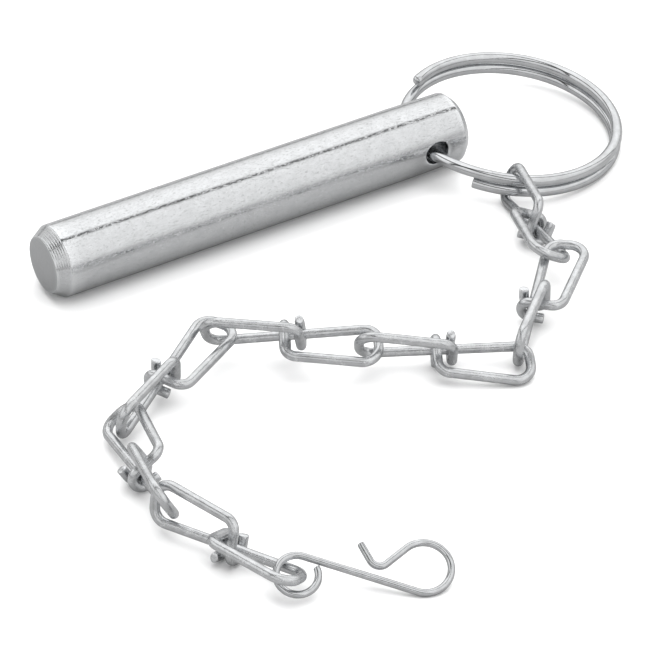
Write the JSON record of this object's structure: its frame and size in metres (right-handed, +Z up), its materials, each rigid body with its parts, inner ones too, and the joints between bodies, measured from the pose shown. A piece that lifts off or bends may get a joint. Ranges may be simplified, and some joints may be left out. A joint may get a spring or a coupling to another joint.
{
  "type": "hitch pin lock",
  "caption": "Plain round hitch pin with a split ring through its cross hole, a short chain of knotted wire links and a spring wire clip at the free end.",
  "frame": {"origin": "on the pin's axis at the middle of its full-diameter shank", "axes": "+X along the pin's axis to the plain end, which goes in first; +Z up from the surface the part lies on; the cross hole is bored along Y"},
  "size_m": [0.1592, 0.1473, 0.016],
  "materials": {
    "zinc_plated_pin": "turned steel, bright zinc plated, with fine lengthwise handling marks",
    "polished_ring": "bright nickel-plated spring wire",
    "chain_wire": "zinc-plated steel wire, satin",
    "spring_clip": "bright zinc-plated spring wire"
  },
  "bodies": {
    "pin": {"pin": "zinc_plated_pin"},
    "split_ring": {"split_ring": "polished_ring"},
    "link_1": {"link_1": "chain_wire"},
    "link_2": {"link_2": "chain_wire"},
    "link_3": {"link_3": "chain_wire"},
    "link_4": {"link_4": "chain_wire"},
    "link_5": {"link_5": "chain_wire"},
    "link_6": {"link_6": "chain_wire"},
    "link_7": {"link_7": "chain_wire"},
    "clip": {"clip": "spring_clip"}
  },
  "joints": [
    {"name": "ring_swing", "type": "hinge", "parent": "pin", "child": "split_ring", "pos_m": [-0.048, 0, 0], "axis": [0, 1, 0], "range_deg": [-150, 150]},
    {"name": "link_1_swing", "type": "hinge", "parent": "split_ring", "child": "link_1", "pos_m": [-0.05826, 0.02289, -0.00304], "axis": [-0.8594, 0.4985, -0.1136], "range_deg": [0, 35]},
    {"name": "link_2_hinge", "type": "hinge", "parent": "link_1", "child": "link_2", "pos_m": [-0.05042, 0.04912, 0.00028], "axis": [-0.723, 0.6903, -0.0256], "range_deg": [0, 85]},
    {"name": "link_3_hinge", "type": "hinge", "parent": "link_2", "child": "link_3", "pos_m": [-0.02873, 0.07273, -0.00426], "axis": [0.4098, 0.8042, -0.4305], "range_deg": [-40, 20]},
    {"name": "link_4_hinge", "type": "hinge", "parent": "link_3", "child": "link_4", "pos_m": [0.00227, 0.05736, -0.00067], "axis": [0.1954, 0.3836, 0.9026], "range_deg": [-90, 90]},
    {"name": "link_5_hinge", "type": "hinge", "parent": "link_4", "child": "link_5", "pos_m": [0.02751, 0.03858, 0.00007], "axis": [0.2807, 0.2663, 0.9221], "range_deg": [-90, 45]},
    {"name": "link_6_hinge", "type": "hinge", "parent": "link_5", "child": "link_6", "pos_m": [0.0536, 0.04948, -0.00298], "axis": [-0.866, 0.03, 0.4991], "range_deg": [-5, 80]},
    {"name": "link_7_hinge", "type": "hinge", "parent": "link_6", "child": "link_7", "pos_m": [0.06135, 0.08358, -0.00119], "axis": [0.4951, -0.0876, 0.8644], "range_deg": [-10, 75]},
    {"name": "clip_swing", "type": "hinge", "parent": "link_7", "child": "clip", "pos_m": [0.04848, 0.11131, -0.00351], "axis": [0.8207, 0.4383, 0.3664], "range_deg": [-110, 0]}
  ]
}
